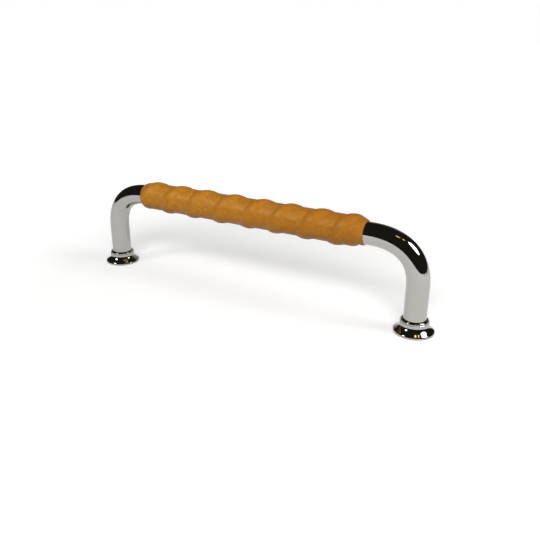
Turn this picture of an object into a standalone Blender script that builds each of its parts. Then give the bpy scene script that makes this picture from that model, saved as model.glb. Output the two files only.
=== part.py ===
"""Bow pull handle: a bent round rod on two turned feet, its grip wound with a leather strip.

Standalone script: blender --background --python part.py, or Blender's text editor. Metres, +Z up.
The origin is on the mounting plane, midway between the two fixing holes. X runs along the grip.
"""

import math

import bmesh
import bpy
from mathutils import Vector

# Rod: nickel plated, bent once at each end, and drilled up both legs for the fixing screws
screw_spacing = 0.128
rod_diameter = 0.0077
rod_height = 0.0309  # mounting plane to the grip's centreline
bend_along = 0.0165  # how far each bend reaches along the grip
bend_up = 0.0146  # and how far down the leg
bend_fullness = 0.626  # handle share of the bend's curve: 0.552 is a true ellipse, more is fuller
screw_hole_diameter = 0.0033
screw_hole_depth = 0.012
drill_point_angle = math.radians(118)
leg_chamfer = 0.0004

# Feet: turned, with a socket that takes the leg and a hole that passes the screw
foot_diameter = 0.0137
foot_height = 0.00475
foot_floor = 0.0016  # what is left under the leg
foot_screw_clearance = 0.0006  # radial, round the screw's hole in the leg
foot_widest = 0.0004  # height at which the foot is at its full diameter
foot_under = 0.00004  # how far it draws in again below that
neck_wall = 0.00103  # of the collar round the leg
neck_start = 0.00325  # height at which the flare has become an upright neck
flare_fullness = 0.42  # handle share of the flare's lower curve: more is rounder
flare_hollow = 0.4  # and of its upper one, into the neck
rim_width = 0.0007  # of the rounding at the neck's top
rim_drop = 0.0008
leg_clearance = 0.0001  # radial, in the socket
seat_gap = 0.0003  # under the leg's end

# Wrap: one strip wound over itself, glued to the rod, with both ends pulled down onto it
glue_line = 0.0002
strip_thickness = 0.001
lap_height = 0.0007  # how far the lapped edge stands above a single layer
lap_share = 0.51  # of each turn
lap_softness = 0.8  # power of the lap's rounded form: lower is squarer
wrap_pitch = 0.01187
wrap_past_left = 0.00045  # how far it runs past the start of the left bend
wrap_short_right = 0.00155  # and how far it stops short of the right one
wrap_lap_offset = 0.002  # where a lap crosses the top of the grip, from its middle
left_end_round = 0.0028
right_end_round = 0.0058
end_thickness = 0.0003

# Facets
rod_sides = 32
bend_steps = 16
foot_sides = 40
wrap_sides = 24
lap_sides = 14  # of those, on the lap
wrap_steps_per_turn = 18
end_steps = 6

rod_radius = rod_diameter / 2
foot_radius = foot_diameter / 2
screw_hole_radius = screw_hole_diameter / 2
leg_x = screw_spacing / 2
straight_half = leg_x - bend_along
leg_end_z = foot_floor + seat_gap


def clear_scene():
    for obj in list(bpy.data.objects):
        bpy.data.objects.remove(obj)


def make_material(name, colour, roughness, metallic):
    material = bpy.data.materials.new(name)
    material.use_nodes = True
    shader = material.node_tree.nodes["Principled BSDF"]
    shader.inputs["Base Color"].default_value = (*colour, 1.0)
    shader.inputs["Roughness"].default_value = roughness
    shader.inputs["Metallic"].default_value = metallic
    return material


def add_object(name, mesh, material=None):
    obj = bpy.data.objects.new(name, mesh)
    bpy.context.scene.collection.objects.link(obj)
    if material:
        mesh.materials.clear()
        mesh.materials.append(material)
    return obj


def shade(mesh, sharp_angle=math.radians(40)):
    mesh.shade_smooth()
    mesh.set_sharp_from_angle(angle=sharp_angle)


def oval_arc(centre, size, start, end, steps):
    """Points (r, z) along an arc of an upright oval; angles in radians from the +r direction."""
    points = []
    for i in range(steps + 1):
        angle = start + (end - start) * i / steps
        points.append((centre[0] + size[0] * math.cos(angle), centre[1] + size[1] * math.sin(angle)))
    return points


def curve_points(handles, steps):
    """Points along the curve that four handles give."""
    points = []
    for i in range(steps + 1):
        t = i / steps
        shares = ((1 - t) ** 3, 3 * t * (1 - t) ** 2, 3 * t * t * (1 - t), t**3)
        points.append(tuple(sum(s * h[axis] for s, h in zip(shares, handles)) for axis in (0, 1)))
    return points


def turned(name, profile, sides, closed=True):
    """A mesh turned about Z from (r, z) points. An open profile ends on the axis."""
    bm = bmesh.new()
    verts = [bm.verts.new((r, 0.0, z)) for r, z in profile]
    edges = [bm.edges.new(pair) for pair in zip(verts, verts[1:])]
    if closed:
        edges.append(bm.edges.new((verts[-1], verts[0])))
    bmesh.ops.spin(
        bm, geom=verts + edges, axis=(0, 0, 1), cent=(0, 0, 0), steps=sides, angle=2 * math.pi, use_merge=True
    )
    bmesh.ops.remove_doubles(bm, verts=bm.verts, dist=1e-7)
    bmesh.ops.recalc_face_normals(bm, faces=bm.faces)
    mesh = bpy.data.meshes.new(name)
    bm.to_mesh(mesh)
    bm.free()
    return mesh


def bend_points():
    """(distance along the grip from the leg, height) round one bend, from the leg to the grip."""
    foot_end = rod_height - bend_up
    handles = (
        (0.0, foot_end),
        (0.0, foot_end + bend_fullness * bend_up),
        ((1 - bend_fullness) * bend_along, rod_height),
        (bend_along, rod_height),
    )
    return curve_points(handles, bend_steps)


def rod_path():
    """The rod's centreline, from the top of the left leg's chamfer to that of the right one's."""
    left = [(-leg_x, leg_end_z + leg_chamfer)] + [(-leg_x + along, z) for along, z in bend_points()]
    right = [(-x, z) for x, z in reversed(left)]
    return left + right


def sweep_rod():
    """The rod as an open tube along its centreline."""
    curve = bpy.data.curves.new("rod_centreline", "CURVE")
    curve.dimensions = "3D"
    spline = curve.splines.new("POLY")
    path = rod_path()
    spline.points.add(len(path) - 1)
    for point, (x, z) in zip(spline.points, path):
        point.co = (x, 0.0, z, 1.0)
    curve.bevel_depth = rod_radius
    curve.bevel_resolution = (rod_sides - 4) // 2
    guide = bpy.data.objects.new("rod_centreline", curve)
    bpy.context.scene.collection.objects.link(guide)
    mesh = bpy.data.meshes.new_from_object(guide)
    mesh.name = "bow_rod"
    bpy.data.objects.remove(guide)
    return mesh


def drill_leg(bm, x):
    """Closes one leg: chamfer, flat end, chamfered mouth and screw hole, down to the drill's point."""
    mouth = screw_hole_radius + leg_chamfer
    cone = screw_hole_radius / math.tan(drill_point_angle / 2)
    rings = [
        (rod_radius - leg_chamfer, leg_end_z),
        (mouth, leg_end_z),
        (screw_hole_radius, leg_end_z + leg_chamfer),
        (screw_hole_radius, leg_end_z + screw_hole_depth),
    ]
    edges = [e for e in bm.edges if e.is_boundary and e.verts[0].co.x * x > 0]
    for radius, z in rings:
        made = bmesh.ops.extrude_edge_only(bm, edges=edges)["geom"]
        edges = [item for item in made if isinstance(item, bmesh.types.BMEdge)]
        for vert in {v for e in edges for v in e.verts}:
            out = Vector((vert.co.x - x, vert.co.y, 0.0)).normalized() * radius
            vert.co = (x + out.x, out.y, z)
    tip = bm.verts.new((x, 0.0, leg_end_z + screw_hole_depth + cone))
    for edge in edges:
        bm.faces.new((*edge.verts, tip))


def make_rod(material):
    mesh = sweep_rod()
    bm = bmesh.new()
    bm.from_mesh(mesh)
    bmesh.ops.remove_doubles(bm, verts=bm.verts, dist=1e-7)
    for x in (-leg_x, leg_x):
        drill_leg(bm, x)
    bmesh.ops.recalc_face_normals(bm, faces=bm.faces)
    bm.to_mesh(mesh)
    bm.free()
    shade(mesh)
    return add_object("bow_rod", mesh, material)


def foot_profile():
    """(r, z) round the foot's section: hole, socket, rim, neck, flare and flat base."""
    socket = rod_radius + leg_clearance
    hole = screw_hole_radius + foot_screw_clearance
    neck = socket + neck_wall
    flare = neck_start - foot_widest
    handles = (
        (neck, neck_start),
        (neck, neck_start - flare_hollow * flare),
        (foot_radius, foot_widest + flare_fullness * flare),
        (foot_radius, foot_widest),
    )
    rim = oval_arc((neck - rim_width, foot_height - rim_drop), (rim_width, rim_drop), math.pi / 2, 0.0, 7)
    under = oval_arc((foot_radius - foot_under, foot_widest), (foot_under, foot_widest), 0.0, -math.pi / 2, 5)
    return [
        (hole, 0.0),
        (hole, foot_floor),
        (socket, foot_floor),
        (socket, foot_height),
        *rim,
        *curve_points(handles, 14),
        *under[1:],
    ]


def make_foot(name, x, material):
    mesh = turned(name, foot_profile(), foot_sides)
    shade(mesh)
    foot = add_object(name, mesh, material)
    foot.location = (x, 0.0, 0.0)
    return foot


def lap(phase):
    """Height of the lapped edge above a single layer; phase is 0 to 1 over one turn."""
    phase %= 1.0
    if phase >= lap_share:
        return 0.0
    return lap_height * math.sin(math.pi * phase / lap_share) ** lap_softness


def end_share(x, wrap_left, wrap_right):
    """1 along the grip, falling in a quarter round to 0 at each end of the wrap."""
    share = 1.0
    for distance, length in ((x - wrap_left, left_end_round), (wrap_right - x, right_end_round)):
        rest = 1 - min(1.0, max(0.0, distance / length))
        share *= math.sqrt(1 - rest * rest)
    return share


def wrap_stations(wrap_left, wrap_right):
    """Places along the grip: close together on the rounded ends, and even between them."""
    left = [wrap_left + left_end_round * (1 - math.cos(math.pi / 2 * i / end_steps)) for i in range(end_steps)]
    right = [wrap_right - right_end_round * (1 - math.cos(math.pi / 2 * i / end_steps)) for i in range(end_steps)]
    start, stop = wrap_left + left_end_round, wrap_right - right_end_round
    count = max(1, round((stop - start) / wrap_pitch * wrap_steps_per_turn))
    middle = [start + (stop - start) * i / count for i in range(count + 1)]
    return left + middle + right[::-1]


def lap_phases():
    """Where a turn's section has its points: most of them on the lap, which has the form."""
    lapped = [lap_share * i / lap_sides for i in range(lap_sides)]
    plain = wrap_sides - lap_sides
    return lapped + [lap_share + (1 - lap_share) * i / plain for i in range(plain)]


def make_wrap(material):
    wrap_left = -straight_half - wrap_past_left
    wrap_right = straight_half - wrap_short_right
    bore = rod_radius + glue_line
    phases = lap_phases()
    bm = bmesh.new()
    rings = []
    for x in wrap_stations(wrap_left, wrap_right):
        share = end_share(x, wrap_left, wrap_right)
        ring = []
        for phase in phases:
            # the winding turns from the top towards the front, -Y, as it runs to -X
            angle = 2 * math.pi * (phase - (x - wrap_lap_offset) / wrap_pitch)
            full = strip_thickness + lap(phase)
            radius = bore + end_thickness + (full - end_thickness) * share
            ring.append(bm.verts.new((x, -radius * math.sin(angle), radius * math.cos(angle))))
        rings.append(ring)
    bore_ends = []
    for x in (wrap_left, wrap_right):
        angles = [2 * math.pi * k / wrap_sides for k in range(wrap_sides)]
        bore_ends.append([bm.verts.new((x, -bore * math.sin(a), bore * math.cos(a))) for a in angles])
    for ring, following in [*zip(rings, rings[1:]), bore_ends]:
        for k in range(wrap_sides):
            after = (k + 1) % wrap_sides
            bm.faces.new((ring[k], following[k], following[after], ring[after]))
    for outer, inner in ((rings[0], bore_ends[0]), (rings[-1], bore_ends[1])):
        loops = [bm.edges.get((ring[k - 1], ring[k])) for ring in (outer, inner) for k in range(wrap_sides)]
        bmesh.ops.triangle_fill(bm, edges=loops, use_beauty=True)
    bmesh.ops.recalc_face_normals(bm, faces=bm.faces)
    mesh = bpy.data.meshes.new("leather_wrap")
    bm.to_mesh(mesh)
    bm.free()
    shade(mesh)
    wrap = add_object("leather_wrap", mesh, material)
    wrap.location = (0.0, 0.0, rod_height)
    return wrap


def main():
    clear_scene()
    nickel = make_material("polished_nickel", (0.74, 0.72, 0.69), 0.06, 1.0)
    leather = make_material("tan_leather", (0.55, 0.24, 0.035), 0.55, 0.0)
    handle = bpy.data.objects.new("bow_pull_handle", None)
    bpy.context.scene.collection.objects.link(handle)
    parts = [
        make_rod(nickel),
        make_foot("foot_left", -leg_x, nickel),
        make_foot("foot_right", leg_x, nickel),
        make_wrap(leather),
    ]
    for part in parts:
        part.parent = handle


main()
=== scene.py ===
import math

import bpy
import numpy as np
from mathutils import Matrix, Vector


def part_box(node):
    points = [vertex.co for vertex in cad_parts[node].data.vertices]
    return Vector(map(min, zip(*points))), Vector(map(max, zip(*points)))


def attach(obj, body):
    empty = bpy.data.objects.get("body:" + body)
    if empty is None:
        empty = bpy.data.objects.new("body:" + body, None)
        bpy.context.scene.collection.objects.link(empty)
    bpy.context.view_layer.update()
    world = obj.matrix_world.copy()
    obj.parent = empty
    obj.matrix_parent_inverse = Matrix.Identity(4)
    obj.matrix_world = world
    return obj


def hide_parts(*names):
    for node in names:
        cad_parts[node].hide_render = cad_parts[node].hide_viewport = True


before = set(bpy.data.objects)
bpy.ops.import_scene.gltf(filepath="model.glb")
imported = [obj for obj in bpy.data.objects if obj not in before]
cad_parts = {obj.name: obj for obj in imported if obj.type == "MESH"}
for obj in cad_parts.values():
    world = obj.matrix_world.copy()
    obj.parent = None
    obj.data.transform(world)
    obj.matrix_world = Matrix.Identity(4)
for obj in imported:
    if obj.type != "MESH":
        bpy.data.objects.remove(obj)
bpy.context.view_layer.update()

mm = 0.001
tiny = 0.001 * mm  # closer than this is the same spot
fitGap = 0.03 * mm  # between the rod and what sits on it
metalSmooth = 35  # degrees, sharper edges of metal stay crisp
leatherSmooth = 60


# places read from the frame

rodLow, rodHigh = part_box("bow_rod")
footLow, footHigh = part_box("foot_right")

rodRadius = (rodHigh[1] - rodLow[1]) / 2
legX = rodHigh[0] - rodRadius
legEnd = rodLow[2]
gripHeight = rodHigh[2] - rodRadius
footRadius = (footHigh[0] - footLow[0]) / 2
footTop = footHigh[2]


# helpers for working in edit mode

def deselectAll():
    bpy.ops.object.select_all(action="DESELECT")


def makeActive(piece):
    deselectAll()
    piece.select_set(True)
    bpy.context.view_layer.objects.active = piece


def startCircle(name, sides, radius, centre, fill="NOTHING"):
    deselectAll()
    bpy.ops.mesh.primitive_circle_add(vertices=sides, radius=radius, location=centre, fill_type=fill)
    piece = bpy.context.object
    piece.name = piece.data.name = name
    bpy.ops.object.mode_set(mode="EDIT")
    bpy.ops.mesh.select_all(action="SELECT")
    return piece


def growRing(step):
    # pulls a new ring out of the selected one
    bpy.ops.mesh.extrude_region_move(TRANSFORM_OT_translate={"value": step})


def scaleRing(share, centre):
    bpy.ops.transform.resize(value=(share, share, 1), center_override=centre)


def turnRings(x, rings):
    # lathe work: each (radius, height) is a new ring round the upright axis at x
    radius, height = rings[0]
    for nextRadius, nextHeight in rings[1:]:
        growRing((0, 0, nextHeight - height))
        scaleRing(nextRadius / radius, (x, 0, nextHeight))
        radius, height = nextRadius, nextHeight


def closeUp(piece):
    # merges doubles, turns the faces outwards and bakes the place into the mesh
    bpy.ops.mesh.select_all(action="SELECT")
    bpy.ops.mesh.remove_doubles(threshold=tiny)
    bpy.ops.mesh.normals_make_consistent(inside=False)
    bpy.ops.object.mode_set(mode="OBJECT")
    makeActive(piece)
    bpy.ops.object.transform_apply(location=True, rotation=True, scale=True)


def shadeSmooth(piece, degrees):
    makeActive(piece)
    bpy.ops.object.shade_smooth_by_angle(angle=math.radians(degrees))


def readVerts(mesh):
    co = np.empty(len(mesh.vertices) * 3)
    mesh.vertices.foreach_get("co", co)
    return co.reshape(-1, 3)


def writeVerts(mesh, co):
    mesh.vertices.foreach_set("co", co.ravel())
    mesh.update()


def emptyMaterial(name):
    material = bpy.data.materials.new(name)
    material.use_nodes = True
    material.node_tree.nodes.clear()
    return material, material.node_tree.nodes, material.node_tree.links


# camera

cameraSettings = {
    "place": (0.1152, -0.1819, 0.0938),
    "turn": 30.31,  # degrees to the left of straight ahead
    "tilt": 21.60,  # degrees down
    "roll": 0.37,
    "lens": 41.2,
}


def addCamera():
    deselectAll()
    bpy.ops.object.camera_add(location=cameraSettings["place"])
    camera = bpy.context.object
    camera.name = "photoCamera"
    camera.data.lens = cameraSettings["lens"]
    camera.data.sensor_width = 36
    camera.data.clip_start = 0.001
    aim = Matrix.Rotation(math.radians(cameraSettings["turn"]), 4, "Z")
    aim @= Matrix.Rotation(math.radians(90 - cameraSettings["tilt"]), 4, "X")
    aim @= Matrix.Rotation(math.radians(cameraSettings["roll"]), 4, "Z")
    camera.rotation_euler = aim.to_euler()
    bpy.context.scene.camera = camera


# polished nickel, shared by the rod and the feet

nickelSettings = {
    "warmTone": (0.435, 0.42, 0.392),
    "coolTone": (0.425, 0.417, 0.4),
    "roughness": (0.035, 0.075),
    "cloudScale": 180,  # soft patches left by the polishing mop
    "cloudDetail": 3,
    "cloudRange": (0.35, 0.7),  # what the roughness runs over
    "hairlineScale": 2600,
    "hairlineDetail": 2,
    "hairlineStrength": 0.06,
    "hairlineDepth": 0.004 * mm,
}


def nickelMaterial(name, grain):
    material = bpy.data.materials.new(name)
    material.use_nodes = True
    nodes, links = material.node_tree.nodes, material.node_tree.links
    shader = nodes["Principled BSDF"]
    shader.inputs["Metallic"].default_value = 1
    place = nodes.new("ShaderNodeTexCoord")
    clouds = nodes.new("ShaderNodeTexNoise")
    clouds.inputs["Scale"].default_value = nickelSettings["cloudScale"]
    clouds.inputs["Detail"].default_value = nickelSettings["cloudDetail"]
    links.new(place.outputs["Object"], clouds.inputs["Vector"])
    tone = nodes.new("ShaderNodeMix")
    tone.data_type = "RGBA"
    tone.inputs["A"].default_value = (*nickelSettings["warmTone"], 1)
    tone.inputs["B"].default_value = (*nickelSettings["coolTone"], 1)
    links.new(clouds.outputs["Fac"], tone.inputs["Factor"])
    links.new(tone.outputs["Result"], shader.inputs["Base Color"])
    dull = nodes.new("ShaderNodeMapRange")
    dull.inputs["From Min"].default_value = nickelSettings["cloudRange"][0]
    dull.inputs["From Max"].default_value = nickelSettings["cloudRange"][1]
    dull.inputs["To Min"].default_value = nickelSettings["roughness"][0]
    dull.inputs["To Max"].default_value = nickelSettings["roughness"][1]
    links.new(clouds.outputs["Fac"], dull.inputs["Value"])
    links.new(dull.outputs["Result"], shader.inputs["Roughness"])
    # polishing hairlines, drawn out along the work
    stretch = nodes.new("ShaderNodeMapping")
    stretch.inputs["Scale"].default_value = grain
    links.new(place.outputs["Object"], stretch.inputs["Vector"])
    hairlines = nodes.new("ShaderNodeTexNoise")
    hairlines.inputs["Scale"].default_value = nickelSettings["hairlineScale"]
    hairlines.inputs["Detail"].default_value = nickelSettings["hairlineDetail"]
    links.new(stretch.outputs["Vector"], hairlines.inputs["Vector"])
    bump = nodes.new("ShaderNodeBump")
    bump.inputs["Strength"].default_value = nickelSettings["hairlineStrength"]
    bump.inputs["Distance"].default_value = nickelSettings["hairlineDepth"]
    links.new(hairlines.outputs["Fac"], bump.inputs["Height"])
    links.new(bump.outputs["Normal"], shader.inputs["Normal"])
    return material


# the rod: one length of round bar, bent down at both ends

rodSettings = {
    "sides": 96,
    "bendSteps": 40,
    "bendAlong": 16.5 * mm,
    "bendUp": 14.6 * mm,
    "bendFullness": 0.626,
    "endChamfer": 0.4 * mm,
    "holeRadius": 1.65 * mm,
    "holeDepth": 12 * mm,
    "holePoint": 118,  # degrees, the drill's point
    "threadPitch": 0.7 * mm,
    "threadDepth": 0.34 * mm,
    "threadLength": 10 * mm,
    "threadRings": 112,
    "threadStart": 0.3 * mm,  # over which it rises past the chamfer
    "middleReach": 0.1 * mm,  # what counts as the middle of the drill's point
}


def curveSteps(corners, steps):
    # the curve that four corners give, as points with their headings
    corners = [Vector(corner) for corner in corners]
    path = []
    for i in range(steps + 1):
        t = i / steps
        ab, bc, cd = (corners[k].lerp(corners[k + 1], t) for k in range(3))
        abc, bcd = ab.lerp(bc, t), bc.lerp(cd, t)
        path.append((abc.lerp(bcd, t), bcd - abc))
    return path


def bendPath():
    # (along the grip from the leg, height, heading from upright) round one bend
    along, up, full = rodSettings["bendAlong"], rodSettings["bendUp"], rodSettings["bendFullness"]
    low = gripHeight - up
    corners = [(0, low), (0, low + full * up), ((1 - full) * along, gripHeight), (along, gripHeight)]
    steps = curveSteps(corners, rodSettings["bendSteps"])
    return [(*point, math.atan2(heading.x, heading.y)) for point, heading in steps]


def cutThread(mesh, x):
    # turns the plain wall of a screw hole into a right-hand thread, fading out before the hole's end
    s = rodSettings
    co = readVerts(mesh)
    out = np.hypot(co[:, 0] - x, co[:, 1])
    depthIn = co[:, 2] - legEnd
    pastChamfer = depthIn - s["endChamfer"]
    onWall = np.abs(out - s["holeRadius"]) < tiny
    onWall &= pastChamfer > 0.01 * mm
    onWall &= depthIn < s["threadLength"]
    angle = np.arctan2(co[:, 1], co[:, 0] - x)
    phase = (depthIn / s["threadPitch"] - angle / (2 * math.pi)) % 1
    groove = 1 - np.abs(2 * phase - 1)
    fade = np.clip((s["threadLength"] - depthIn) / s["threadPitch"], 0, 1)
    fade *= np.clip(pastChamfer / s["threadStart"], 0, 1)
    grown = np.where(onWall, 1 + groove * fade * s["threadDepth"] / s["holeRadius"], 1)
    co[:, 0] = x + (co[:, 0] - x) * grown
    co[:, 1] *= grown
    writeVerts(mesh, co)


def modelRod():
    s = rodSettings
    holeTop = legEnd + s["holeDepth"]
    rod = startCircle("nickelRod", s["sides"], s["holeRadius"], (-legX, 0, holeTop), fill="TRIFAN")
    # the drill's point: only the fan's middle is lifted
    bpy.ops.mesh.select_all(action="DESELECT")
    bpy.ops.object.mode_set(mode="OBJECT")
    for vert in rod.data.vertices:
        vert.select = vert.co.length < s["middleReach"]
    bpy.ops.object.mode_set(mode="EDIT")
    point = s["holeRadius"] / math.tan(math.radians(s["holePoint"] / 2))
    bpy.ops.transform.translate(value=(0, 0, point))
    # the hole's rim is selected by its place, and everything else grows out of it
    bpy.ops.mesh.select_all(action="DESELECT")
    bpy.ops.object.mode_set(mode="OBJECT")
    onRim = [vert.co.length > s["middleReach"] and vert.co.z < point / 2 for vert in rod.data.vertices]
    for edge in rod.data.edges:
        edge.select = all(onRim[v] for v in edge.vertices)
    bpy.ops.object.mode_set(mode="EDIT")
    bpy.ops.mesh.select_mode(type="EDGE")
    wallStep = (s["threadLength"] - s["endChamfer"]) / s["threadRings"]
    wallTop = legEnd + s["threadLength"]
    wall = [(s["holeRadius"], wallTop - wallStep * i) for i in range(s["threadRings"] + 1)]
    ends = [
        (s["holeRadius"], holeTop),
        *wall,
        (s["holeRadius"] + s["endChamfer"], legEnd),
        (rodRadius - s["endChamfer"], legEnd),
        (rodRadius, legEnd + s["endChamfer"]),
    ]
    turnRings(-legX, ends)
    path = [(along - legX, height, heading) for along, height, heading in bendPath()]
    path.append((0, gripHeight, math.pi / 2))
    x, z, heading = -legX, legEnd + s["endChamfer"], 0
    for nextX, nextZ, nextHeading in path:
        growRing((nextX - x, 0, nextZ - z))
        if nextHeading != heading:
            # with no window the operator turns the other way round
            bpy.ops.transform.rotate(
                value=heading - nextHeading, orient_axis="Y", center_override=(nextX, 0, nextZ),
            )
        x, z, heading = nextX, nextZ, nextHeading
    bpy.ops.mesh.select_mode(type="VERT")
    bpy.ops.object.mode_set(mode="OBJECT")
    makeActive(rod)
    bpy.ops.object.transform_apply(location=True, rotation=True, scale=True)
    mirror = rod.modifiers.new("otherHalf", "MIRROR")
    mirror.merge_threshold = tiny
    bpy.ops.object.modifier_apply(modifier=mirror.name)
    bpy.ops.object.mode_set(mode="EDIT")
    closeUp(rod)
    for side in (-legX, legX):
        cutThread(rod.data, side)
    shadeSmooth(rod, metalSmooth)
    return rod


# the feet, turned on a lathe: one outline swept round the leg

footSettings = {
    "sides": 112,
    "screwHoleRadius": 2.25 * mm,
    "socketFloor": 1.6 * mm,
    "socketRadius": rodRadius + fitGap,
    "under": (0.04 * mm, 0.42 * mm),  # draw-in below the widest part, and that part's height
    "edgeRound": 0.75 * mm,
    "flareFace": 52,  # degrees up that the flare faces where it meets the rounded edge
    "flareHollow": (1.0 * mm, 0.75 * mm),  # reach of the flare's curve, from the neck and from the edge
    "neckRadius": 4.82 * mm,
    "neckStart": 3.25 * mm,
    "beadRadius": 4.7 * mm,  # a narrow bead closes the top of the neck
    "beadSide": 0.2 * mm,
    "beadRound": (0.55 * mm, 0.55 * mm),
    "beadUnder": 0.1 * mm,
    "underSteps": 10,
    "edgeSteps": 18,
    "flareSteps": 30,
    "beadSteps": 12,
}


def ovalRings(centreRadius, centreHeight, section, fromDegrees, toDegrees, steps):
    # rings along an oval arc of the turned outline, 0 degrees straight out and 90 up
    rings = []
    for i in range(steps + 1):
        angle = math.radians(fromDegrees + (toDegrees - fromDegrees) * i / steps)
        radius = centreRadius + section[0] * math.cos(angle)
        rings.append((radius, centreHeight + section[1] * math.sin(angle)))
    return rings


def footRings():
    # the outside from the base up: rounded edge, hollow flare, upright neck and bead
    s = footSettings
    neck, under, edge, face = s["neckRadius"], s["under"], s["edgeRound"], s["flareFace"]
    bead, beadRound = s["beadRadius"], s["beadRound"]
    beadLow = footTop - beadRound[1] - s["beadSide"]
    edgeArc = ovalRings(footRadius - edge, under[1], (edge, edge), 0, face, s["edgeSteps"])
    (flareX, flareZ), slope = edgeArc[-1], math.radians(face)
    flare = curveSteps([
        (flareX, flareZ),
        (flareX - s["flareHollow"][1] * math.sin(slope), flareZ + s["flareHollow"][1] * math.cos(slope)),
        (neck, s["neckStart"] - s["flareHollow"][0]),
        (neck, s["neckStart"]),
    ], s["flareSteps"])
    outside = [
        *ovalRings(footRadius - under[0], under[1], under, -90, 0, s["underSteps"])[:-1],
        *edgeArc,
        *[tuple(point) for point, _ in flare[1:]],
        (neck, beadLow - s["beadUnder"]),
        (bead, beadLow),
        *ovalRings(bead - beadRound[0], footTop - beadRound[1], beadRound, 0, 90, s["beadSteps"]),
    ]
    return [
        (s["screwHoleRadius"], 0),
        (s["screwHoleRadius"], s["socketFloor"]),
        (s["socketRadius"], s["socketFloor"]),
        (s["socketRadius"], footTop),
        *outside[::-1],
        (s["screwHoleRadius"], 0),
    ]


def modelFoot(name, x):
    rings = footRings()
    foot = startCircle(name, footSettings["sides"], rings[0][0], (x, 0, rings[0][1]))
    turnRings(x, rings)
    closeUp(foot)
    shadeSmooth(foot, metalSmooth)
    return foot


# the leather strip, wound from one bend to the other with each turn lapped over the last

leatherSettings = {
    "rings": (620, 144),  # along the grip and round it
    "pitch": 11.87 * mm,
    "firstLap": 1.15 * mm,  # where a lap crosses the top of the grip, from its middle
    "thickness": 1.27 * mm,
    "lapHeight": 0.63 * mm,
    "lapStart": (0.085, 0.065),  # share of a turn, on top and below
    "lapEnd": (0.59, 0.6),
    "lapPower": 0.92,
    "lapCrest": 0.3,  # share of a turn from a lap's start to its crest
    "turnShift": (0.1, 0.1, -0.2, 0.4, 0.7, -0.1, 0.1, -0.4),  # mm, hand winding is never even
    "turnHeight": (0.9, 0.97, 0.97, 1.0, 0.98, 0.94, 1.0, 1.0),
    "runOver": 0.38,  # share of a turn from the top where one turn starts to run over into the next
    "creaseDepth": 0.015 * mm,
    "creaseWidth": 0.085,  # share of a turn
    "creaseFade": 0.85,  # how much of it is lost underneath
    "creaseFadeFrom": (0.05, 0.5),  # share of the way from the top to the underside
    "leftEnd": -47.95 * mm,
    "rightEnd": 45.4 * mm,
    "endThickness": 0.3 * mm,
    "leftDome": (4.4 * mm, 0.6),  # reach, and power: lower is rounder
    "rightDome": (4.4 * mm, 0.66),
    "tuckAngle": 168,  # degrees from the top: where the tail is tucked under
    "tuckSpread": 52,
    "tuckCore": 0.35,  # share of the spread that is wholly tucked
    "tuckPlace": 43.1 * mm,
    "tuckDome": (2.2 * mm, 0.6),
    "tagPlace": 44.4 * mm,
    "tagReach": 0.55 * mm,
    "tagHeight": 0.3 * mm,
    "tailDip": 0.1 * mm,  # past the tuck the tail is pulled down onto the rod
    "tailDipFade": 0.3,
}


def smoothStep(low, high, value):
    t = np.clip((value - low) / (high - low), 0, 1)
    return t * t * (3 - 2 * t)


def domeShare(distance, dome):
    # rises in a rounded end from 0 at its edge to 1 where the plain winding begins
    reach, power = dome
    return (1 - (1 - np.clip(distance / reach, 0, 1)) ** 2) ** power


def lapShape(x, angle):
    # how far each spot stands up in a lap, and how deep in the crease beside it, both 0 to 1
    s = leatherSettings
    below = (1 - np.cos(angle)) / 2
    around = angle / (2 * math.pi)
    turns = (x - s["firstLap"]) / s["pitch"] + around
    # each turn keeps its own place and height, and underneath runs over into the next, so the seam meets
    count = len(s["turnShift"])
    index = turns - around * smoothStep(s["runOver"], 0.5, np.abs(around)) - s["lapCrest"] + count / 2
    shift = np.interp(index, np.arange(count), s["turnShift"]) * mm
    height = np.interp(index, np.arange(count), s["turnHeight"])
    turns = turns - shift / s["pitch"]
    start = s["lapStart"][0] + (s["lapStart"][1] - s["lapStart"][0]) * below
    end = s["lapEnd"][0] + (s["lapEnd"][1] - s["lapEnd"][0]) * below
    phase = (turns - start) % 1 / (end - start)
    lap = np.sin(math.pi * np.clip(phase, 0, 1)) ** s["lapPower"] * (phase < 1) * height
    crease = ((turns - start + 0.5) % 1 - 0.5) / s["creaseWidth"]
    fade = 1 - s["creaseFade"] * smoothStep(*s["creaseFadeFrom"], below)
    return lap, np.exp(-crease * crease) * fade


def wrapRadius(x, angle):
    # angle runs from the top, 0, down over the side that the camera sees
    s = leatherSettings
    lap, pressed = lapShape(x, angle)
    bare = rodRadius + s["endThickness"]
    full = rodRadius + s["thickness"] + s["lapHeight"] * lap - s["creaseDepth"] * pressed
    left = domeShare(x - s["leftEnd"], s["leftDome"])
    right = domeShare(s["rightEnd"] - x, s["rightDome"])
    # under the right end the last turn stops short and its tail is tucked in, leaving a small tag
    away = np.abs((angle - math.radians(s["tuckAngle"]) + math.pi) % (2 * math.pi) - math.pi)
    tucked = 1 - smoothStep(s["tuckCore"], 1, away / math.radians(s["tuckSpread"]))
    short = domeShare(s["tuckPlace"] - x, s["tuckDome"])
    tag = s["tagHeight"] * np.exp(-((x - s["tagPlace"]) / s["tagReach"]) ** 2)
    pastTuck = np.clip((s["tuckPlace"] - x) / s["tuckDome"][0], 0, 1)
    dip = s["tailDip"] * smoothStep(s["tailDipFade"], 0, pastTuck)
    radius = bare + (full - bare) * left * (right * (1 - tucked) + np.minimum(short, right) * tucked)
    return radius + (tag - dip) * tucked


def selectOpenEdges():
    bpy.ops.mesh.select_all(action="DESELECT")
    bpy.ops.mesh.select_non_manifold(
        extend=False, use_wire=False, use_boundary=True,
        use_multi_face=False, use_non_contiguous=False, use_verts=False,
    )


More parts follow.
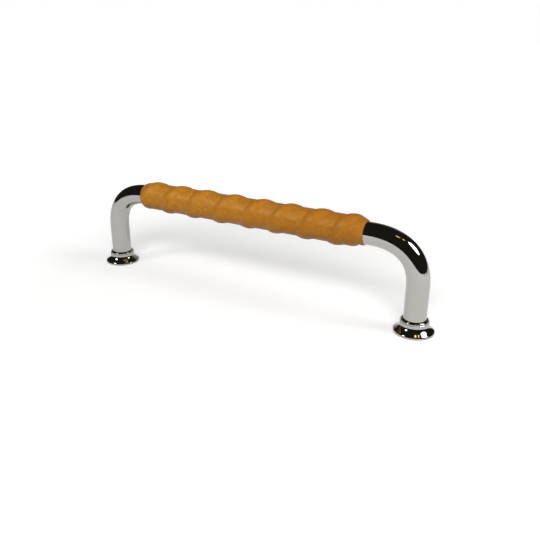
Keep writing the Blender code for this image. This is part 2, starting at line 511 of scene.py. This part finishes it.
def modelLeather():
    s = leatherSettings
    left, right = s["leftEnd"], s["rightEnd"]
    along, about = s["rings"]
    deselectAll()
    bpy.ops.mesh.primitive_grid_add(
        x_subdivisions=along, y_subdivisions=about, size=1, calc_uvs=True,
        location=((left + right) / 2, 0, gripHeight),
    )
    strip = bpy.context.object
    strip.name = strip.data.name = "leatherStrip"
    bpy.ops.transform.resize(value=(right - left, 2 * math.pi, 1))
    bpy.ops.object.transform_apply(location=True, rotation=True, scale=True)
    # the flat sheet is rolled up round the grip, edge to edge underneath
    co = readVerts(strip.data)
    angle = -co[:, 1]
    radius = wrapRadius(co[:, 0], angle)
    co[:, 1] = -radius * np.sin(angle)
    co[:, 2] = gripHeight + radius * np.cos(angle)
    writeVerts(strip.data, co)
    bpy.ops.object.mode_set(mode="EDIT")
    bpy.ops.mesh.select_mode(type="VERT")
    selectOpenEdges()
    bpy.ops.mesh.remove_doubles(threshold=tiny)
    selectOpenEdges()
    # both ends are turned in to the rod and joined by the bore
    bpy.ops.mesh.select_mode(type="EDGE")
    growRing((0, 0, 0))
    bore = (rodRadius + fitGap) / (rodRadius + s["endThickness"])
    bpy.ops.transform.resize(value=(1, bore, bore), center_override=((left + right) / 2, 0, gripHeight))
    bpy.ops.mesh.bridge_edge_loops()
    bpy.ops.mesh.select_mode(type="VERT")
    bpy.ops.mesh.select_all(action="SELECT")
    bpy.ops.mesh.normals_make_consistent(inside=False)
    bpy.ops.object.mode_set(mode="OBJECT")
    # the lap and crease amounts are kept on the mesh for the leather's material; the crease amount paints
    # shade into the creases' colour
    co = readVerts(strip.data)
    angle = np.arctan2(-co[:, 1], co[:, 2] - gripHeight)
    for name, amount in zip(("lap", "crease"), lapShape(co[:, 0], angle)):
        kept = strip.data.attributes.new(name, "FLOAT", "POINT")
        kept.data.foreach_set("value", amount)
    shadeSmooth(strip, leatherSmooth)
    return strip


leatherLook = {
    "tan": (0.49, 0.207, 0.02),
    "deepTan": (0.42, 0.159, 0.013),
    "rightShadeTan": (0.32, 0.11, 0.0095),  # painted shade: the leather darkens towards the right end, where its light falls off
    "rightShadeFrom": 0.3,  # share of the grip's length
    "rightShadeShare": 0.55,
    # painted shade in the creases: its tone, and how much of it the crease amount mixes in
    "creaseShadeTone": (0.2, 0.06, 0.009),
    "creaseShadeShare": 0.04,
    "pore": (0.24, 0.08, 0.008),
    "poreShare": 0.3,
    "roughness": (0.34, 0.44),
    "shine": 0.2,
    "shineTint": (0.92, 1, 0.68),
    "sheetSize": (94, 33.5),  # mm, along the grip and once round it
    "layAngle": 20,  # degrees between the strip and the way round
    "grainDraw": 0.45,  # the grain is drawn out along the strip
    "patchScale": 0.5,  # all scales are per mm of leather
    "patchDetail": 4,
    "pebbleScale": 1.5,
    "wrinkleScale": 1.3,
    "wrinkleDetail": 3,
    "wrinkleShare": 0.8,
    "lapPebble": 0.35,  # what is left of the pebbling on a lap
    "bumpStrength": 0.6,
    "bumpDepth": 0.2 * mm,
}


def leatherMaterial():
    material = bpy.data.materials.new("tanLeather")
    material.use_nodes = True
    nodes, links = material.node_tree.nodes, material.node_tree.links
    shader = nodes["Principled BSDF"]
    look = leatherLook
    shader.inputs["Specular IOR Level"].default_value = look["shine"]
    shader.inputs["Specular Tint"].default_value = (*look["shineTint"], 1)

    def mix(amount, low, high):
        node = nodes.new("ShaderNodeMix")
        node.data_type = "RGBA"
        for socket, value in (("Factor", amount), ("A", low), ("B", high)):
            if isinstance(value, tuple):
                node.inputs[socket].default_value = (*value, 1)
            else:
                links.new(value, node.inputs[socket])
        return node.outputs["Result"]

    def ramp(value, fromLow, fromHigh, toLow, toHigh):
        node = nodes.new("ShaderNodeMapRange")
        node.inputs["From Min"].default_value = fromLow
        node.inputs["From Max"].default_value = fromHigh
        node.inputs["To Min"].default_value = toLow
        node.inputs["To Max"].default_value = toHigh
        links.new(value, node.inputs["Value"])
        return node.outputs["Result"]

    def calculate(operation, first, second):
        node = nodes.new("ShaderNodeMath")
        node.operation = operation
        for i, value in enumerate((first, second)):
            if isinstance(value, (int, float)):
                node.inputs[i].default_value = value
            else:
                links.new(value, node.inputs[i])
        return node.outputs[0]

    # UV runs along the grip and round it, and is turned to lie along and across the strip, in mm
    place = nodes.new("ShaderNodeTexCoord")
    flat = nodes.new("ShaderNodeMapping")
    flat.inputs["Scale"].default_value = (*look["sheetSize"], 1)
    links.new(place.outputs["UV"], flat.inputs["Vector"])
    laid = nodes.new("ShaderNodeMapping")
    laid.inputs["Rotation"].default_value = (0, 0, math.radians(look["layAngle"]))
    links.new(flat.outputs["Vector"], laid.inputs["Vector"])
    drawn = nodes.new("ShaderNodeMapping")
    drawn.inputs["Scale"].default_value = (look["grainDraw"], 1, 1)
    links.new(laid.outputs["Vector"], drawn.inputs["Vector"])

    patches = nodes.new("ShaderNodeTexNoise")
    patches.inputs["Scale"].default_value = look["patchScale"]
    patches.inputs["Detail"].default_value = look["patchDetail"]
    links.new(laid.outputs["Vector"], patches.inputs["Vector"])
    pebbles = nodes.new("ShaderNodeTexVoronoi")
    pebbles.feature = "SMOOTH_F1"
    pebbles.inputs["Scale"].default_value = look["pebbleScale"]
    links.new(laid.outputs["Vector"], pebbles.inputs["Vector"])
    wrinkles = nodes.new("ShaderNodeTexNoise")
    wrinkles.inputs["Scale"].default_value = look["wrinkleScale"]
    wrinkles.inputs["Detail"].default_value = look["wrinkleDetail"]
    links.new(drawn.outputs["Vector"], wrinkles.inputs["Vector"])
    lap = nodes.new("ShaderNodeAttribute")
    lap.attribute_name = "lap"
    crease = nodes.new("ShaderNodeAttribute")
    crease.attribute_name = "crease"

    tone = mix(ramp(patches.outputs["Fac"], 0.35, 0.65, 0, 1), look["tan"], look["deepTan"])
    across = nodes.new("ShaderNodeSeparateXYZ")
    links.new(place.outputs["UV"], across.inputs[0])
    # painted shade: the tone darkens towards the right end of the grip, where its light falls off
    tone = mix(ramp(across.outputs["X"], look["rightShadeFrom"], 1, 0, look["rightShadeShare"]), tone, look["rightShadeTan"])
    tone = mix(ramp(pebbles.outputs["Distance"], 0.25, 0.7, 0, look["poreShare"]), tone, look["pore"])
    # painted shade: the colour darkens along the creases
    tone = mix(ramp(crease.outputs["Fac"], 0.1, 1, 0, look["creaseShadeShare"]), tone, look["creaseShadeTone"])
    links.new(tone, shader.inputs["Base Color"])
    rough = ramp(patches.outputs["Fac"], 0.3, 0.7, look["roughness"][0], look["roughness"][1])
    links.new(rough, shader.inputs["Roughness"])
    # pebbled where the strip lies slack, drawn smooth over the laps
    slackness = ramp(lap.outputs["Fac"], 0, 0.9, 1, look["lapPebble"])
    pebbleHeight = calculate("MULTIPLY", calculate("MULTIPLY", pebbles.outputs["Distance"], -1), slackness)
    wrinkleHeight = calculate("MULTIPLY", wrinkles.outputs["Fac"], look["wrinkleShare"])
    height = calculate("ADD", pebbleHeight, wrinkleHeight)
    bump = nodes.new("ShaderNodeBump")
    bump.inputs["Strength"].default_value = look["bumpStrength"]
    bump.inputs["Distance"].default_value = look["bumpDepth"]
    links.new(height, bump.inputs["Height"])
    links.new(bump.outputs["Normal"], shader.inputs["Normal"])
    return material


# the studio: a white table, its lamps, and a dark room and cards that only show in the polish

studioSettings = {
    "tableSize": 8,
    "tableDrop": 0.02 * mm,  # keeps the table clear of the feet
    "tableSeen": 0.8,
    "tableBounce": 0.42,  # the light that it throws back up
    "tableLift": (0.3, 1),  # brings the lit table up to white, near the handle and far away
    "tableNear": 0.08,
    "tableFar": 0.3,
    "roomRadius": 3.5,
    "roomGlow": (0.02, 0.0185, 0.0155),
    "skyGlow": 0.15,
}

plainLight = (1, 1, 1)
bulbLight = (1, 0.85, 0.25)

# the window's screen doesn't show in the polish, and the sheen lamp adds sheen alone
lampSettings = {
    "softWindow": {"place": (0.42, -0.74, 0.58), "size": (0.7, 0.38), "power": 9,
                   "colour": plainLight, "hidden": "glossy"},
    "sideLamp": {"place": (0.304, 0.055, 0.278), "size": (0.18,), "power": 0.5, "colour": plainLight},
    "frontLamp": {"place": (-0.218, -0.303, 0.33), "size": (0.12,), "power": 0.4, "colour": plainLight},
    "sheenLamp": {"place": (-0.218, -0.303, 0.33), "size": (0.12,), "power": 0.6,
                  "colour": plainLight, "hidden": "diffuse"},
    "warmBulbOne": {"place": (0.221, -0.138, 0.756), "size": (0.09,), "power": 0.05, "colour": bulbLight},
    "warmBulbTwo": {"place": (0.345, -0.061, 0.719), "size": (0.07,), "power": 0.03, "colour": bulbLight},
}


def seenDirectly(nodes, links):
    # 1 for what the camera, a mirror or glass sees, and 0 for light that bounces
    path = nodes.new("ShaderNodeLightPath")
    total = path.outputs["Is Camera Ray"]
    for kind in ("Is Glossy Ray", "Is Transmission Ray"):
        most = nodes.new("ShaderNodeMath")
        most.operation = "MAXIMUM"
        links.new(total, most.inputs[0])
        links.new(path.outputs[kind], most.inputs[1])
        total = most.outputs[0]
    return total


def addTable():
    deselectAll()
    drop = studioSettings["tableDrop"]
    bpy.ops.mesh.primitive_plane_add(size=studioSettings["tableSize"], location=(0, 0, -drop))
    table = bpy.context.object
    table.name = "studioTable"
    material, nodes, links = emptyMaterial("tableWhite")
    paint = nodes.new("ShaderNodeBsdfDiffuse")
    lift = nodes.new("ShaderNodeEmission")
    seen = seenDirectly(nodes, links)
    white = nodes.new("ShaderNodeMapRange")
    white.inputs["To Min"].default_value = studioSettings["tableBounce"]
    white.inputs["To Max"].default_value = studioSettings["tableSeen"]
    links.new(seen, white.inputs["Value"])
    links.new(white.outputs["Result"], paint.inputs["Color"])
    strength = nodes.new("ShaderNodeMath")
    strength.operation = "MULTIPLY"
    place = nodes.new("ShaderNodeTexCoord")
    away = nodes.new("ShaderNodeVectorMath")
    away.operation = "LENGTH"
    links.new(place.outputs["Object"], away.inputs[0])
    level = nodes.new("ShaderNodeMapRange")
    level.inputs["From Min"].default_value = studioSettings["tableNear"]
    level.inputs["From Max"].default_value = studioSettings["tableFar"]
    level.inputs["To Min"].default_value = studioSettings["tableLift"][0]
    level.inputs["To Max"].default_value = studioSettings["tableLift"][1]
    links.new(away.outputs["Value"], level.inputs["Value"])
    # the polish sees the table as it is lit, without the extra that whitens the far part
    path = nodes.new("ShaderNodeLightPath")
    polish = nodes.new("ShaderNodeMix")
    links.new(path.outputs["Is Glossy Ray"], polish.inputs["Factor"])
    links.new(level.outputs["Result"], polish.inputs["A"])
    polish.inputs["B"].default_value = studioSettings["tableLift"][0]
    links.new(polish.outputs["Result"], strength.inputs[1])
    links.new(seen, strength.inputs[0])
    links.new(strength.outputs[0], lift.inputs["Strength"])
    both = nodes.new("ShaderNodeAddShader")
    links.new(paint.outputs[0], both.inputs[0])
    links.new(lift.outputs[0], both.inputs[1])
    output = nodes.new("ShaderNodeOutputMaterial")
    links.new(both.outputs[0], output.inputs["Surface"])
    table.data.materials.append(material)


def addWorld():
    world = bpy.data.worlds.new("studioSky")
    bpy.context.scene.world = world
    world.use_nodes = True
    nodes, links = world.node_tree.nodes, world.node_tree.links
    glow = nodes["Background"]
    seen = seenDirectly(nodes, links)
    level = nodes.new("ShaderNodeMapRange")
    level.inputs["To Min"].default_value = studioSettings["skyGlow"]
    level.inputs["To Max"].default_value = 1
    links.new(seen, level.inputs["Value"])
    links.new(level.outputs["Result"], glow.inputs["Strength"])
    glow.inputs["Color"].default_value = (1, 1, 1, 1)


def onlyInPolish(piece):
    for kind in ("camera", "diffuse", "transmission", "volume_scatter", "shadow"):
        setattr(piece, "visible_" + kind, False)


def addDarkRoom():
    # the unlit room round the table, which is there for reflections only
    deselectAll()
    bpy.ops.mesh.primitive_uv_sphere_add(segments=48, ring_count=24, radius=studioSettings["roomRadius"])
    room = bpy.context.object
    room.name = "darkRoom"
    material, nodes, links = emptyMaterial("unlitRoom")
    glow = nodes.new("ShaderNodeEmission")
    glow.inputs["Color"].default_value = (*studioSettings["roomGlow"], 1)
    output = nodes.new("ShaderNodeOutputMaterial")
    links.new(glow.outputs[0], output.inputs["Surface"])
    room.data.materials.append(material)
    onlyInPolish(room)


# place is a card's middle and tilt how far it stands up; its colour runs from low to high
cardSettings = {
    "backCard": {"place": (-0.12, 0.2, 0.08), "size": (0.36, 0.16), "tilt": 90,
                 "low": (0.62, 0.61, 0.57), "high": (0.05, 0.048, 0.04)},
    # past the table's front edge the floor is as dark as the room
    "floorEnd": {"place": (0, -4.25, 0.0001), "size": (8, 8), "tilt": 0,
                 "low": studioSettings["roomGlow"], "high": studioSettings["roomGlow"]},
}


def addCards():
    # cards round the table that only show as soft edges in the polish
    for name, c in cardSettings.items():
        deselectAll()
        bpy.ops.mesh.primitive_plane_add(size=1, location=(0, 0, 0))
        card = bpy.context.object
        card.name = name
        card.scale = (*c["size"], 1)
        bpy.ops.object.transform_apply(location=True, rotation=True, scale=True)
        card.rotation_euler = (math.radians(c["tilt"]), 0, 0)
        card.location = c["place"]
        material, nodes, links = emptyMaterial(name)
        place = nodes.new("ShaderNodeTexCoord")
        split = nodes.new("ShaderNodeSeparateXYZ")
        links.new(place.outputs["Object"], split.inputs[0])
        level = nodes.new("ShaderNodeMapRange")
        level.inputs["From Min"].default_value = -c["size"][1] / 2
        level.inputs["From Max"].default_value = c["size"][1] / 2
        links.new(split.outputs["Y"], level.inputs["Value"])
        tone = nodes.new("ShaderNodeMix")
        tone.data_type = "RGBA"
        tone.inputs["A"].default_value = (*c["low"], 1)
        tone.inputs["B"].default_value = (*c["high"], 1)
        links.new(level.outputs["Result"], tone.inputs["Factor"])
        glow = nodes.new("ShaderNodeEmission")
        links.new(tone.outputs["Result"], glow.inputs["Color"])
        output = nodes.new("ShaderNodeOutputMaterial")
        links.new(glow.outputs[0], output.inputs["Surface"])
        card.data.materials.append(material)
        onlyInPolish(card)


def addLamps():
    middle = Vector((0, 0, gripHeight / 2))
    for name, lamp in lampSettings.items():
        deselectAll()
        bpy.ops.object.light_add(type="AREA", location=lamp["place"])
        light = bpy.context.object
        light.name = name
        light.data.shape = "DISK" if len(lamp["size"]) == 1 else "RECTANGLE"
        light.data.size = lamp["size"][0]
        if len(lamp["size"]) == 2:
            light.data.size_y = lamp["size"][1]
        light.data.energy = lamp["power"]
        light.data.color = lamp["colour"]
        light.rotation_euler = (Vector(lamp["place"]) - middle).to_track_quat("Z", "Y").to_euler()
        if "hidden" in lamp:
            setattr(light, "visible_" + lamp["hidden"], False)


# the build

print("camera")
addCamera()
print("rod")
rod = modelRod()
rod.data.materials.append(nickelMaterial("nickelDrawn", (0.06, 1, 1)))
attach(rod, "root")
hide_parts("bow_rod")
print("feet")
footNickel = nickelMaterial("nickelTurned", (1, 1, 8))
for side, x in (("left", -legX), ("right", legX)):
    foot = modelFoot("nickelFoot" + side.capitalize(), x)
    foot.data.materials.append(footNickel)
    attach(foot, "root")
    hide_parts("foot_" + side)
print("leather")
strip = modelLeather()
strip.data.materials.append(leatherMaterial())
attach(strip, "root")
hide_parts("leather_wrap")
print("studio")
addTable()
addWorld()
addDarkRoom()
addCards()
addLamps()
bpy.context.scene.view_settings.view_transform = "Standard"
